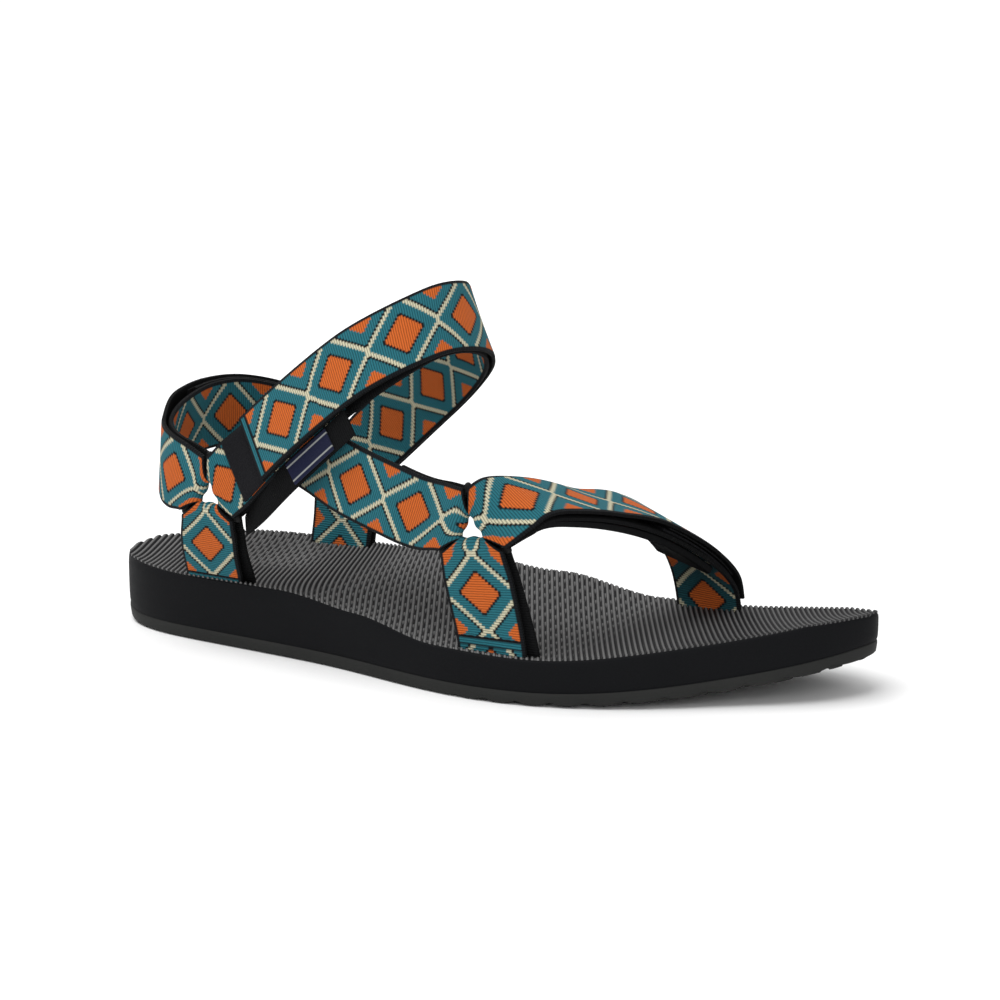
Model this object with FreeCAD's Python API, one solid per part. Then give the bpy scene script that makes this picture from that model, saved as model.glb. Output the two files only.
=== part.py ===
"""Strappy sport sandal for the right foot, built as separate pieces in millimetres.

Frame: +X toe, +Y medial (big-toe side), -Y lateral, +Z up.  The origin is on the
ground, in the middle of the sole's bounding rectangle.
"""
import FreeCAD, Part
import math
import os

V = FreeCAD.Vector
os.makedirs("parts", exist_ok=True)

# ---------------------------------------------------------------- driving sizes
SOLE_LENGTH = 268.0        # heel to toe
SOLE_WIDTH = 92.0          # across the ball of the foot
OUTSOLE_T = 4.2            # rubber under the midsole
FOOTBED_T = 2.4            # ribbed top sheet
TOE_SPRING = 12.5          # rise of the underside at the toe tip
HEEL_BEVEL = 2.5           # rise of the underside at the back of the heel
EDGE_INSET = 1.0           # outsole is this much smaller all round
LUG_PITCH = 9.0
LUG_GROOVE = 2.2
LUG_DEPTH = 1.5

WEB_W = 24.0               # webbing width
WEB_T = 1.6                # webbing thickness
FOLD_W = 13.0              # webbing gathered to this where it turns round a ring bar
TAPE_W = 21.5              # hook tape and loop tape
TAPE_T = 0.8
LINING_T = 2.8
BAR_R = 1.1                # ring bars
RING_SIDE = 23.5

SEAM = 0.1                 # between sewn layers
FREE = 0.35                # between a piece that moves and what it lies on
HINGE_GAP = 0.5            # each side of a peel line
SLOT_GAP = 0.7             # round webbing where it enters the footbed
TAPER = 9.0                # length over which webbing opens out from a fold
SETTLE = 14.0              # length over which two leaves close up from a ring

BAR_LIFT = BAR_R + SEAM + WEB_T / 2
PLY = WEB_T + SEAM                                   # webbing sewn on webbing
LOOSE = WEB_T + 0.8                                  # webbing lying loose on webbing
TAPE_ON_WEB = WEB_T / 2 + SEAM + TAPE_T / 2          # tape on webbing
HOOK_ON_LOOP = TAPE_T + FREE                         # closed hook and loop
TIP_ON_HOOK = TAPE_T / 2 + SEAM + WEB_T / 2          # webbing on its hook tape

# ------------------------------------------------------------------- the sole
OUTLINE = [
    (-134, 7), (-132.5, -7), (-124.5, -16.5), (-110.5, -23.5), (-91, -27.2),
    (-61, -30.5), (-28, -35.3), (2, -42.6), (30, -46), (56, -41.5), (79.5, -30.5),
    (101.5, -15.5), (120.5, -1.5), (131.5, 12.5), (134, 25), (126.5, 34), (104, 40.5),
    (77, 44.5), (52, 46), (23, 43.5), (-6, 39.2), (-33, 36.6), (-65, 37.4),
    (-93, 38), (-112.5, 33.8), (-126.5, 23.7), (-132.3, 15.5),
]
# share of the length from the heel, and the height of the footbed above the
# underside at the lateral and at the medial edge
HEIGHTS = [
    (0.00, 24.0, 25.0), (0.15, 22.8, 25.4), (0.30, 23.2, 25.8), (0.42, 20.4, 26.0),
    (0.55, 16.0, 22.2), (0.68, 15.2, 16.2), (0.84, 16.5, 15.4), (1.00, 16.6, 13.8),
]
SPRING_FROM = 0.66
BEVEL_TO = 0.06
DISH = 2.2                 # the footbed's middle lies below its rim

# --------------------------------------------------------------------- rings
# centre, lean of the top corner, and how far y changes for each mm of x
RING_PLACES = {
    "ring_rear_lateral": (V(-78.5, -33, 52.3), 0, -0.12),
    "ring_rear_medial": (V(-71, 39, 52.3), 0, -0.04),
    "ring_front_lateral": (V(26.5, -43, 53.5), 7, 0.0),
}


def ring_corners(centre, lean, slope):
    """Top, rear bottom and front bottom corners of a ring."""
    out = []
    for degrees in (90 + lean, 210 + lean, 330 + lean):
        a = math.radians(degrees)
        radius = RING_SIDE / math.sqrt(3)
        dx, dz = radius * math.cos(a), radius * math.sin(a)
        out.append(centre + V(dx, slope * dx, dz))
    return out


RINGS = {name: ring_corners(*place) for name, place in RING_PLACES.items()}


def middle(a, b):
    return (a + b) * 0.5


def towards(a, b):
    return (b - a).normalize()


def smooth(t):
    t = min(max(t, 0.0), 1.0)
    return t * t * (3 - 2 * t)


def table(rows, x, column):
    """Value of a table column at x, eased between its rows."""
    for low, high in zip(rows, rows[1:]):
        if x <= high[0]:
            t = smooth((x - low[0]) / (high[0] - low[0]))
            return low[column] + t * (high[column] - low[column])
    return rows[-1][column]


def hermite(p0, p1, m0, m1, t):
    t2, t3 = t * t, t * t * t
    return p0 * (2 * t3 - 3 * t2 + 1) + m0 * (t3 - 2 * t2 + t) + p1 * (3 * t2 - 2 * t3) + m1 * (t3 - t2)


# ---------------------------------------------------------------- strap paths
def trace(stations, step=1.0):
    """Frames along a strap's path.

    stations: (point, direction across the webbing).  Each frame is
    (distance, point, along, across, outward).
    """
    points = [p for p, _ in stations]
    across = [w for _, w in stations]
    knots = [0.0]
    for a, b in zip(points, points[1:]):
        knots.append(knots[-1] + (b - a).Length)
    last = len(points) - 1

    def slope(values, i):
        a, b = max(i - 1, 0), min(i + 1, last)
        return (values[b] - values[a]) * (1.0 / (knots[b] - knots[a]))

    dense = []
    for i in range(last):
        span = knots[i + 1] - knots[i]
        count = max(2, int(round(span / step)))
        for k in range(count + (i == last - 1)):
            t = k / count
            m = [slope(points, i) * span, slope(points, i + 1) * span]
            w = [slope(across, i) * span, slope(across, i + 1) * span]
            dense.append((hermite(points[i], points[i + 1], m[0], m[1], t),
                          hermite(across[i], across[i + 1], w[0], w[1], t)))
    frames = []
    distance = 0.0
    for i, (p, w) in enumerate(dense):
        a, b = dense[max(i - 1, 0)][0], dense[min(i + 1, len(dense) - 1)][0]
        side = V(w).normalize()
        outward = side.cross(b - a).normalize()
        if i:
            distance += (p - dense[i - 1][0]).Length
        frames.append((distance, p, outward.cross(side), side, outward))
    return frames


def frame_at(path, s):
    for low, high in zip(path, path[1:]):
        if s <= high[0]:
            t = (s - low[0]) / (high[0] - low[0])
            mix = [a + (b - a) * t for a, b in zip(low[1:], high[1:])]
            return mix[0], mix[1].normalize(), mix[2].normalize(), mix[3].normalize()
    return path[-1][1:]


def length(path):
    return path[-1][0]


def leg(path, knots, width=WEB_W, folds=(), step=2.5):
    """Stations of one layer: knots are (distance, lift), folds the ring ends."""
    out = []
    for (s0, l0), (s1, l1) in zip(knots, knots[1:]):
        count = max(1, int(math.ceil(abs(s1 - s0) / step)))
        for k in range(0 if not out else 1, count + 1):
            t = k / count
            s = s0 + (s1 - s0) * t
            point, _, side, outward = frame_at(path, s)
            reach = min([abs(s - f) for f in folds] + [TAPER])
            w = min(width, FOLD_W + (WEB_W - FOLD_W) * smooth(reach / TAPER))
            out.append((point + outward * (l0 + (l1 - l0) * smooth(t)), side, w))
    return out


def turn(path, s, lift, sense):
    """Half turn round a ring bar, from +lift to -lift on the `sense` side."""
    point, along, side, outward = frame_at(path, s)
    out = []
    for degrees in (30, 60, 90, 120, 150):
        a = math.radians(degrees)
        ring = outward * (lift * math.cos(a)) + along * (sense * abs(lift) * math.sin(a))
        out.append((point + ring, side, FOLD_W))
    return out


def strip(stations, thickness=WEB_T):
    """Solid band through the stations, square across its run."""
    wires = []
    last = len(stations) - 1
    for i, (point, side, width) in enumerate(stations):
        run = towards(stations[max(i - 1, 0)][0], stations[min(i + 1, last)][0])
        face = side.cross(run).normalize()
        w, h = side * (width / 2), face * (thickness / 2)
        corners = [point + w + h, point - w + h, point - w - h, point + w - h]
        wires.append(Part.makePolygon(corners + corners[:1]))
    return Part.makeLoft(wires, True, True)


# ------------------------------------------------------------ the four straps
REAR, MEDIAL, FRONT = (RINGS[n] for n in
                       ("ring_rear_lateral", "ring_rear_medial", "ring_front_lateral"))

ANKLE = trace([
    (middle(REAR[0], REAR[2]), towards(REAR[0], REAR[2])),
    (V(-59.5, -33, 67), V(0.57, -0.3, -0.76)),
    (V(-43.5, -32.2, 81), V(0.56, -0.36, -0.75)),
    (V(-24.5, -29.5, 96.5), V(0.52, -0.38, -0.77)),
    (V(-11, -22.5, 106.8), V(0.46, -0.38, -0.8)),
    (V(-4, -12, 112), V(0.38, -0.35, -0.85)),
    (V(-1.8, 1, 112), V(0.38, -0.28, -0.87)),
    (V(-5, 13, 108), V(0.46, -0.12, -0.87)),
    (V(-12.8, 22.5, 100.2), V(0.55, 0.05, -0.83)),
    (V(-25.5, 30, 89), V(0.6, 0.08, -0.79)),
    (V(-41.5, 35, 76), V(0.6, 0.05, -0.8)),
    (middle(MEDIAL[0], MEDIAL[2]), towards(MEDIAL[0], MEDIAL[2])),
])
HEEL = trace([
    (middle(REAR[0], REAR[1]), towards(REAR[1], REAR[0])),
    (V(-95.5, -28.7, 58.5), V(0.2, 0, 0.98)),
    (V(-103.5, -21.5, 61.3), V(0.06, 0.03, 0.99)),
    (V(-108.8, -11, 64.8), V(0.13, 0, 0.98)),
    (V(-111.3, 2, 67.8), V(0.17, 0, 0.98)),
    (V(-110.2, 14.5, 69.6), V(0.14, -0.08, 0.98)),
    (V(-105, 26.5, 69.5), V(0.1, -0.12, 0.98)),
    (V(-95, 35.3, 65.8), V(0.15, -0.06, 0.98)),
    (middle(MEDIAL[0], MEDIAL[1]), towards(MEDIAL[1], MEDIAL[0])),
])
TOE = trace([
    (middle(FRONT[0], FRONT[2]), towards(FRONT[0], FRONT[2])),
    (V(36.2, -40.9, 60.5), V(0.77, -0.1, -0.58)),
    (V(40.8, -35, 61.8), V(0.85, -0.35, -0.35)),
    (V(46.2, -24, 60.2), V(0.88, -0.36, -0.27)),
    (V(51.5, -9, 56), V(0.92, -0.32, -0.2)),
    (V(57.2, 6, 51.1), V(0.92, -0.25, -0.27)),
    (V(62.3, 18.5, 44.5), V(0.92, -0.2, -0.3)),
    (V(66, 29.6, 35.7), V(0.95, -0.11, -0.24)),
    (V(68.4, 36.4, 26.7), V(0.99, -0.04, -0.14)),
    (V(69.3, 39, 17), V(1, -0.1, 0)),
    (V(69.5, 39.2, 8), V(1, -0.1, 0)),
])
SIDE = trace([
    (V(-58, -25.8, 73.3), V(-0.3, 0, -0.95)),
    (V(-48, -27.9, 70.6), V(-0.3, 0, -0.95)),
    (V(-38, -31.3, 68), V(-0.3, 0, -0.95)),
    (V(-25, -36, 64), V(-0.3, 0, -0.95)),
    (V(-8, -39.4, 59.6), V(-0.3, 0, -0.95)),
    (V(6.5, -41.2, 56.2), V(-0.33, 0, -0.94)),
    (middle(FRONT[0], FRONT[1]), towards(FRONT[0], FRONT[1])),
])
LABEL = trace([
    (V(-60.5, -35.2, 45.2), V(0.6, -0.12, -0.78)),
    (V(-54, -38, 50.6), V(0.6, -0.14, -0.78)),
    (V(-44.3, -39.4, 59), V(0.6, -0.16, -0.78)),
    (V(-33.3, -39.4, 68.7), V(0.58, -0.18, -0.78)),
    (V(-23.8, -39.9, 77), V(0.56, -0.2, -0.79)),
])
# anchors: ring end first, then down into the sole
ANCHORS = {
    "anchor_rear_lateral": [
        (middle(REAR[1], REAR[2]), towards(REAR[2], REAR[1])),
        (V(-81, -29, 33), V(-1, 0.1, 0)),
        (V(-82.5, -24.4, 22), V(-1, 0.1, 0)),
        (V(-82.5, -24.2, 13), V(-1, 0.1, 0)),
    ],
    "anchor_rear_medial": [
        (middle(MEDIAL[1], MEDIAL[2]), towards(MEDIAL[1], MEDIAL[2])),
        (V(-70, 36, 33), V(1, -0.01, 0)),
        (V(-69.5, 33, 23), V(1, 0, 0)),
        (V(-69.5, 32.9, 14), V(1, 0, 0)),
    ],
    "anchor_front_lateral": [
        (middle(FRONT[1], FRONT[2]), towards(FRONT[2], FRONT[1])),
        (V(30.2, -41.9, 32), V(-1, -0.03, -0.06)),
        (V(32.8, -40.8, 17), V(-1, 0, 0)),
        (V(33, -40.7, 8.5), V(-1, 0, 0)),
    ],
}
LEAF = 1.5                 # lift of an anchor's two leaves where they enter the sole

# where each flap ends and where it peels, measured from its own ring
TAIL_END = 58.0
TAPE_FROM = 8.0
TAPE_TO = 56.0
TIP_END = 20.0
PEEL = 62.0
TOE_TIP_END = 98.0
TOE_PEEL = 60.0


def plies(tail):
    """Lifts of the closed stack: loop tape, hook tape, flap end."""
    loop = tail + TAPE_ON_WEB
    hook = loop + HOOK_ON_LOOP
    return loop, hook, hook + TIP_ON_HOOK


def ringed(path, knots_out, knots_in, s, sense):
    """Webbing that comes along knots_out, turns round a bar, and goes back."""
    folds = (s,)
    return (leg(path, knots_out, folds=folds)
            + turn(path, s, knots_out[-1][1], sense)
            + leg(path, knots_in, folds=folds))


parts = {}


def add(name, shape):
    assert shape.isValid(), name
    parts[name] = shape


# --- sole
def share(x):
    return min(max((x + SOLE_LENGTH / 2) / SOLE_LENGTH, 0.0), 1.0)


def underside(x):
    s = (x + SOLE_LENGTH / 2) / SOLE_LENGTH
    z = 0.0
    if s > SPRING_FROM:
        z = TOE_SPRING * ((s - SPRING_FROM) / (1 - SPRING_FROM)) ** 2
    if s < BEVEL_TO:
        z = HEEL_BEVEL * ((BEVEL_TO - s) / BEVEL_TO) ** 2
    return z


def closed_curve(points):
    curve = Part.BSplineCurve()
    curve.interpolate([V(x, y, 0) for x, y in points], PeriodicFlag=True)
    return curve


def fitted_outline():
    """The outline spline, scaled so that its box is exactly the named size."""
    box = FreeCAD.BoundBox()
    for point in closed_curve(OUTLINE).discretize(1200):
        box.add(point)
    kx, ky = SOLE_LENGTH / box.XLength, SOLE_WIDTH / box.YLength
    cx, cy = box.Center.x, box.Center.y
    return [((x - cx) * kx, (y - cy) * ky) for x, y in OUTLINE]


def inset(points, by):
    """The closed outline's points moved inwards."""
    curve = closed_curve(points)
    out = []
    for x, y in points:
        t = curve.parameter(V(x, y, 0))
        run = curve.tangent(t)[0]
        inward = V(-run.y, run.x, 0)
        out.append((x + inward.x * by, y + inward.y * by))
    return out


def prism(points):
    wire = Part.Wire(closed_curve(points).toShape())
    return Part.Face(wire).translated(V(0, 0, -10)).extrude(V(0, 0, 70))


SHAPE = fitted_outline()
RIM = closed_curve(SHAPE)


def edge_y(x, sign):
    """The outline's y at x on the medial (+1) or lateral (-1) side."""
    line = Part.makeLine(V(x, 0, 0), V(x, sign * SOLE_WIDTH, 0))
    near = RIM.toShape().distToShape(line)[1][0][0]
    return near.y


def footbed_top(x, v):
    """Height at x, v running from 0 at the lateral to 1 at the medial edge."""
    s = share(x)
    lateral, medial = table(HEIGHTS, s, 1), table(HEIGHTS, s, 2)
    v = min(max(v, 0.0), 1.0)
    dish = DISH * (1 - (2 * v - 1) ** 4) * (1 - 0.55 * smooth((s - 0.45) / 0.3))
    return underside(x) + lateral + (medial - lateral) * smooth(v) - dish


def top_sheet():
    xs = [-SOLE_LENGTH / 2 - 4 + (SOLE_LENGTH + 8) * i / 20 for i in range(21)]
    rows = []
    for x in xs:
        inside = min(max(x, -SOLE_LENGTH / 2 + 12), SOLE_LENGTH / 2 - 14)
        low, high = edge_y(inside, -1), edge_y(inside, 1)
        ys = [-60 + 12 * k for k in range(11)]
        rows.append([V(x, y, footbed_top(x, (y - low) / (high - low))) for y in ys])
    surface = Part.BSplineSurface()
    surface.interpolate(rows)
    return surface.toShape()


def underside_edges(lift):
    """Heel bevel, flat and toe spring, raised by lift, as edges in the XZ plane."""
    half = SOLE_LENGTH / 2
    cuts = [-half - 6, -half + BEVEL_TO * SOLE_LENGTH, -half + SPRING_FROM * SOLE_LENGTH, half + 6]
    edges = []
    for i, (a, b) in enumerate(zip(cuts, cuts[1:])):
        ends = [V(x, -70, underside(x) + lift) for x in (a, b)]
        if i == 1:
            edges.append(Part.makeLine(*ends))
            continue
        xs = [a + (b - a) * k / 8 for k in range(9)]
        curve = Part.BSplineCurve()
        curve.interpolate([V(x, -70, underside(x) + lift) for x in xs])
        edges.append(curve.toShape())
    return edges


def slab(low, high):
    """Everything between two lifts of the underside, right across the sole."""
    lower, upper = underside_edges(low), underside_edges(high)
    corners = [[e[0].Vertexes[0].Point, e[-1].Vertexes[-1].Point] for e in (lower, upper)]
    sides = [Part.makeLine(a, b) for a, b in zip(*corners)]
    wire = Part.Wire(Part.__sortEdges__(lower + upper + sides))
    return Part.Face(wire).extrude(V(0, 140, 0))


def slots():
    """Pockets for the webbing where it goes into the footbed."""
    cuts = []
    for stations in ANCHORS.values():
        point, side = stations[-1]
        cuts.append((point, side, 2 * LEAF + WEB_T))
    toe_foot = frame_at(TOE, length(TOE))
    cuts.append((toe_foot[0], toe_foot[2], WEB_T))
    shapes = []
    for point, side, thick in cuts:
        side = V(side.x, side.y, 0).normalize()
        face = V(-side.y, side.x, 0)
        w, h = side * (WEB_W / 2 + SLOT_GAP), face * (thick / 2 + SLOT_GAP)
        base = V(point.x, point.y, point.z - SLOT_GAP)
        corners = [base + w + h, base - w + h, base - w - h, base + w - h]
        shapes.append(Part.Face(Part.makePolygon(corners + corners[:1])).extrude(V(0, 0, 25)))
    return Part.makeCompound(shapes)


body = prism(SHAPE)
top = top_sheet()
pockets = slots()

outsole = prism(inset(SHAPE, EDGE_INSET)).common(slab(0, OUTSOLE_T))
x = -SOLE_LENGTH / 2 + 10
while x < SOLE_LENGTH / 2 - 12:
    depth = underside(x) + LUG_DEPTH
    outsole = outsole.cut(Part.makeBox(LUG_GROOVE, 120, depth + 1, V(x, -60, -1)))
    x += LUG_PITCH
midsole = body.common(slab(OUTSOLE_T + SEAM, 50))
midsole = midsole.common(top.translated(V(0, 0, -FOOTBED_T - SEAM)).extrude(V(0, 0, -60)))
footbed = body.common(top.extrude(V(0, 0, -FOOTBED_T)))
add("outsole", outsole)
add("midsole", midsole.cut(pockets))
add("footbed", footbed.cut(pockets))

# --- rings
for name, corners in RINGS.items():
    bars = None
    for a, b in zip(corners, corners[1:] + corners[:1]):
        bar = Part.makeCylinder(BAR_R, (b - a).Length, a, b - a)
        bar = bar.fuse(Part.makeSphere(BAR_R, a))
        bars = bar if bars is None else bars.fuse(bar)
    add(name, bars.removeSplitter())

# --- anchors
for name, stations in ANCHORS.items():
    path = trace(stations)
    end = length(path)
    add(name, strip(ringed(
        path,
        [(end, LEAF), (end - 10, LEAF), (0, BAR_LIFT)],
        [(0, -BAR_LIFT), (end - 10, -LEAF), (end, -LEAF)],
        0, -1)))

# --- ankle strap
LOOP, HOOK, TIP = plies(PLY)
end = length(ANKLE)
ankle = leg(ANKLE, [(TAIL_END, PLY), (SETTLE, PLY), (0, BAR_LIFT)], folds=(0,))
ankle += turn(ANKLE, 0, BAR_LIFT, -1)
ankle += leg(ANKLE, [(0, -BAR_LIFT), (SETTLE, 0), (end - SETTLE, 0), (end, -BAR_LIFT)],
             folds=(0, end))
ankle += turn(ANKLE, end, -BAR_LIFT, 1)
ankle += leg(ANKLE, [(end, BAR_LIFT), (end - 6, BAR_LIFT - 0.1)], folds=(end,))
add("ankle_base", strip(ankle))
add("ankle_flap", strip(leg(
    ANKLE, [(end - 6.2, BAR_LIFT - 0.1), (end - SETTLE - 4, LOOSE),
            (PEEL + 30, LOOSE), (PEEL + HINGE_GAP, TIP)], folds=(end,))))
add("ankle_flap_end", strip(leg(ANKLE, [(PEEL - HINGE_GAP, TIP), (TIP_END, TIP)])))
add("ankle_loop_tape", strip(leg(
    ANKLE, [(TAPE_FROM, LOOP + 0.25), (SETTLE, LOOP + 0.02), (TAPE_TO, LOOP)],
    width=TAPE_W), TAPE_T))
add("ankle_hook_tape", strip(leg(
    ANKLE, [(TIP_END + 1, HOOK + 0.02), (PEEL - 3, HOOK + 0.02)], width=TAPE_W), TAPE_T))

# --- heel strap: the same stack, closed at the medial ring
end = length(HEEL)
heel = leg(HEEL, [(end - TAIL_END, PLY), (end - SETTLE, PLY), (end, BAR_LIFT)], folds=(end,))
heel += turn(HEEL, end, BAR_LIFT, 1)
heel += leg(HEEL, [(end, -BAR_LIFT), (end - SETTLE, 0), (SETTLE, 0), (0, -BAR_LIFT)],
            folds=(0, end))
heel += turn(HEEL, 0, -BAR_LIFT, -1)
heel += leg(HEEL, [(0, BAR_LIFT), (6, BAR_LIFT - 0.1)], folds=(0,))
add("heel_base", strip(heel))
add("heel_flap", strip(leg(
    HEEL, [(6.2, BAR_LIFT - 0.1), (SETTLE + 4, LOOSE), (end - PEEL - 22, LOOSE),
           (end - PEEL - HINGE_GAP, TIP)], folds=(0,))))
add("heel_flap_end", strip(leg(HEEL, [(end - PEEL + HINGE_GAP, TIP), (end - TIP_END, TIP)])))
add("heel_loop_tape", strip(leg(
    HEEL, [(end - TAPE_TO, LOOP), (end - SETTLE, LOOP + 0.02), (end - TAPE_FROM, LOOP + 0.25)],
    width=TAPE_W), TAPE_T))
add("heel_hook_tape", strip(leg(
    HEEL, [(end - PEEL + 3, HOOK + 0.02), (end - TIP_END - 1, HOOK + 0.02)],
    width=TAPE_W), TAPE_T))

# --- toe strap: sewn into the sole on the medial side, closed on top of the toes
TOE_LOOP, TOE_HOOK, TOE_TIP = plies(0)
end = length(TOE)
toe = leg(TOE, [(end, 0), (SETTLE, 0), (0, -BAR_LIFT)], folds=(0,))
toe += turn(TOE, 0, -BAR_LIFT, -1)
toe += leg(TOE, [(0, BAR_LIFT), (6, BAR_LIFT - 0.1)], folds=(0,))
add("toe_base", strip(toe))
add("toe_flap", strip(leg(
    TOE, [(6.2, BAR_LIFT - 0.1), (SETTLE + 4, LOOSE), (TOE_PEEL - 20, LOOSE),
          (TOE_PEEL - HINGE_GAP, TOE_TIP)], folds=(0,))))
add("toe_flap_end", strip(leg(TOE, [(TOE_PEEL + HINGE_GAP, TOE_TIP), (TOE_TIP_END, TOE_TIP)])))
add("toe_loop_tape", strip(leg(
    TOE, [(TOE_PEEL + 1, TOE_LOOP), (TOE_TIP_END + 1, TOE_LOOP)], width=TAPE_W), TAPE_T))
add("toe_hook_tape", strip(leg(
    TOE, [(TOE_PEEL + 3, TOE_HOOK + 0.02), (TOE_TIP_END - 1, TOE_HOOK + 0.02)],
    width=TAPE_W), TAPE_T))
lining = -(WEB_T + LINING_T) / 2 - SEAM
add("toe_lining", strip(leg(TOE, [(SETTLE + 1, lining), (88, lining)], width=TAPE_W),
                        LINING_T))

# --- side strap, label strip, woven label
end = length(SIDE)
side = leg(SIDE, [(0, 0), (end - SETTLE, 0), (end, BAR_LIFT)], folds=(end,))
side += turn(SIDE, end, BAR_LIFT, 1)
side += leg(SIDE, [(end, -BAR_LIFT), (end - SETTLE, -PLY), (end - 26, -PLY)], folds=(end,))
add("side_strap", strip(side))
LABEL_STRIP_W = 9.0
LABEL_STRIP_T = 1.0
LABEL_W = 7.6
LABEL_T = 0.5
end = length(LABEL)
add("label_strip", strip(leg(LABEL, [(0, 0), (end, 0)], width=LABEL_STRIP_W), LABEL_STRIP_T))
label_lift = (LABEL_STRIP_T + LABEL_T) / 2 + SEAM
add("woven_label", strip(leg(LABEL, [(end / 2 - 9, label_lift), (end / 2 + 11, label_lift)],
                             width=LABEL_W), LABEL_T))

for name, shape in parts.items():
    shape.exportStep("parts/%s.step" % name)
    box = shape.BoundBox
    print("%-22s %8.0f mm3  x %.1f..%.1f  y %.1f..%.1f  z %.1f..%.1f" % (
        name, shape.Volume, box.XMin, box.XMax, box.YMin, box.YMax, box.ZMin, box.ZMax))
whole = Part.makeCompound(list(parts.values())).BoundBox
print("whole", whole)
for name, path in (("ankle", ANKLE), ("heel", HEEL), ("toe", TOE), ("side", SIDE)):
    print(name, "path length %.1f" % length(path))
for name, path, s, lift in (("ankle", ANKLE, PEEL, TIP), ("heel", HEEL, length(HEEL) - PEEL, TIP),
                            ("toe", TOE, TOE_PEEL, TOE_TIP)):
    point, along, side, outward = frame_at(path, s)
    print(name, "peel line", point + outward * (lift + WEB_T / 2), "axis", side)
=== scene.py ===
# %% [markdown]
# # A strappy sport sandal
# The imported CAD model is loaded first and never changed. It gives the places of all
# pieces and the bodies that move. Every piece below is built in that same frame, in
# metres: +X to the toe, +Y to the big-toe side, +Z up, with the floor at z = 0.

# %% Load the frame
import math
import bpy
import numpy as np
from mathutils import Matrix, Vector


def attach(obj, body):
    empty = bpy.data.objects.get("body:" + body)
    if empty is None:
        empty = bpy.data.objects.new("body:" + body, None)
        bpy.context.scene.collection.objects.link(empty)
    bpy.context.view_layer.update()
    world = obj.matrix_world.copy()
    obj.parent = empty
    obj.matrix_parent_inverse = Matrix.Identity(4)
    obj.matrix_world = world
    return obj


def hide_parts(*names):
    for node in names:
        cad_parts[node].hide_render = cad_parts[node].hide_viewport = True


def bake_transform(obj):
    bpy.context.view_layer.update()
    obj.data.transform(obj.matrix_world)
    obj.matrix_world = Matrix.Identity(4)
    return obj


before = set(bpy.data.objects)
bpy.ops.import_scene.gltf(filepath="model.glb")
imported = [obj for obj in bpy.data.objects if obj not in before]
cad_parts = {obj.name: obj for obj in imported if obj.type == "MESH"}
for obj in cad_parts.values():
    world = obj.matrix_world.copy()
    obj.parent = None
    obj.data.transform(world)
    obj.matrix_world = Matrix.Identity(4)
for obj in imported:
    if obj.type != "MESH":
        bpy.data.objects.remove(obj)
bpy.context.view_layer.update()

MM = 0.001

# %% [markdown]
# Operators work on whatever is selected, and loading leaves the CAD nodes selected.
# So each new piece starts with nothing selected, and modifiers are applied at once,
# which leaves plain meshes that sit at the origin.

# %% Small helpers
def deselect():
    for thing in bpy.context.selected_objects:
        thing.select_set(False)


def named(name):
    """The object that an operator has just added, with its name."""
    piece = bpy.context.object
    piece.name = name
    piece.data.name = name
    return piece


def apply_modifier(piece, kind, **settings):
    deselect()
    bpy.context.view_layer.objects.active = piece
    piece.select_set(True)
    modifier = piece.modifiers.new(kind.title(), kind)
    for key, value in settings.items():
        setattr(modifier, key, value)
    bpy.ops.object.modifier_apply(modifier=modifier.name)


def place_vertices(piece, points):
    piece.data.vertices.foreach_set("co", np.asarray(points, np.float32).ravel())
    piece.data.update()


def vertex_points(piece):
    co = np.empty(len(piece.data.vertices) * 3, np.float32)
    piece.data.vertices.foreach_get("co", co)
    return co.reshape(-1, 3).astype(float)


def store(piece, name, kind, values):
    """Writes one value or colour for each vertex, for a material to read."""
    layer = piece.data.attributes.new(name, kind, "POINT")
    layer.data.foreach_set("value" if kind == "FLOAT" else "color", np.asarray(values, np.float32).ravel())


def smooth(t):
    t = np.clip(t, 0, 1)
    return t * t * (3 - 2 * t)


def unit(v):
    return v / np.maximum(np.linalg.norm(v, axis=-1, keepdims=True), 1e-12)


# %% [markdown]
# ## Finishes
# Two effects are used by several materials, so each is a node group. "Cloth ribs" gives
# the height of the raised ribs that run across woven webbing, with single threads on
# them, and a painted shade that darkens the cloth between ribs and threads. It reads the
# piece's own UV map, laid out in millimetres, so the ribs follow each strap round its
# bends. "Moulded grain" is the fine skin of foam and rubber.

# %% Node helpers
def new_group(name, inputs, outputs):
    group = bpy.data.node_groups.new(name, "ShaderNodeTree")
    for title, kind, value in inputs:
        socket = group.interface.new_socket(title, in_out="INPUT", socket_type=kind)
        socket.default_value = value
    for title, kind in outputs:
        group.interface.new_socket(title, in_out="OUTPUT", socket_type=kind)
    return group, group.nodes.new("NodeGroupInput"), group.nodes.new("NodeGroupOutput")


def put(tree, kind, links=(), **values):
    """Adds a node, sets its properties and plugs (input, socket) pairs into it."""
    node = tree.nodes.new(kind)
    for key, value in values.items():
        setattr(node, key, value)
    for key, source in links:
        if isinstance(source, bpy.types.NodeSocket):
            tree.links.new(source, node.inputs[key])
        else:
            node.inputs[key].default_value = source
    return node


def calculate(tree, operation, *inputs):
    return put(tree, "ShaderNodeMath", list(enumerate(inputs)), operation=operation).outputs[0]


def mix_colour(tree, share, low, high, blend="MIX"):
    node = tree.nodes.new("ShaderNodeMix")
    node.data_type = "RGBA"
    node.blend_type = blend
    for socket, source in ((node.inputs[0], share), (node.inputs[6], low), (node.inputs[7], high)):
        if isinstance(source, bpy.types.NodeSocket):
            tree.links.new(source, socket)
        else:
            socket.default_value = source
    return node.outputs[2]


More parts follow.
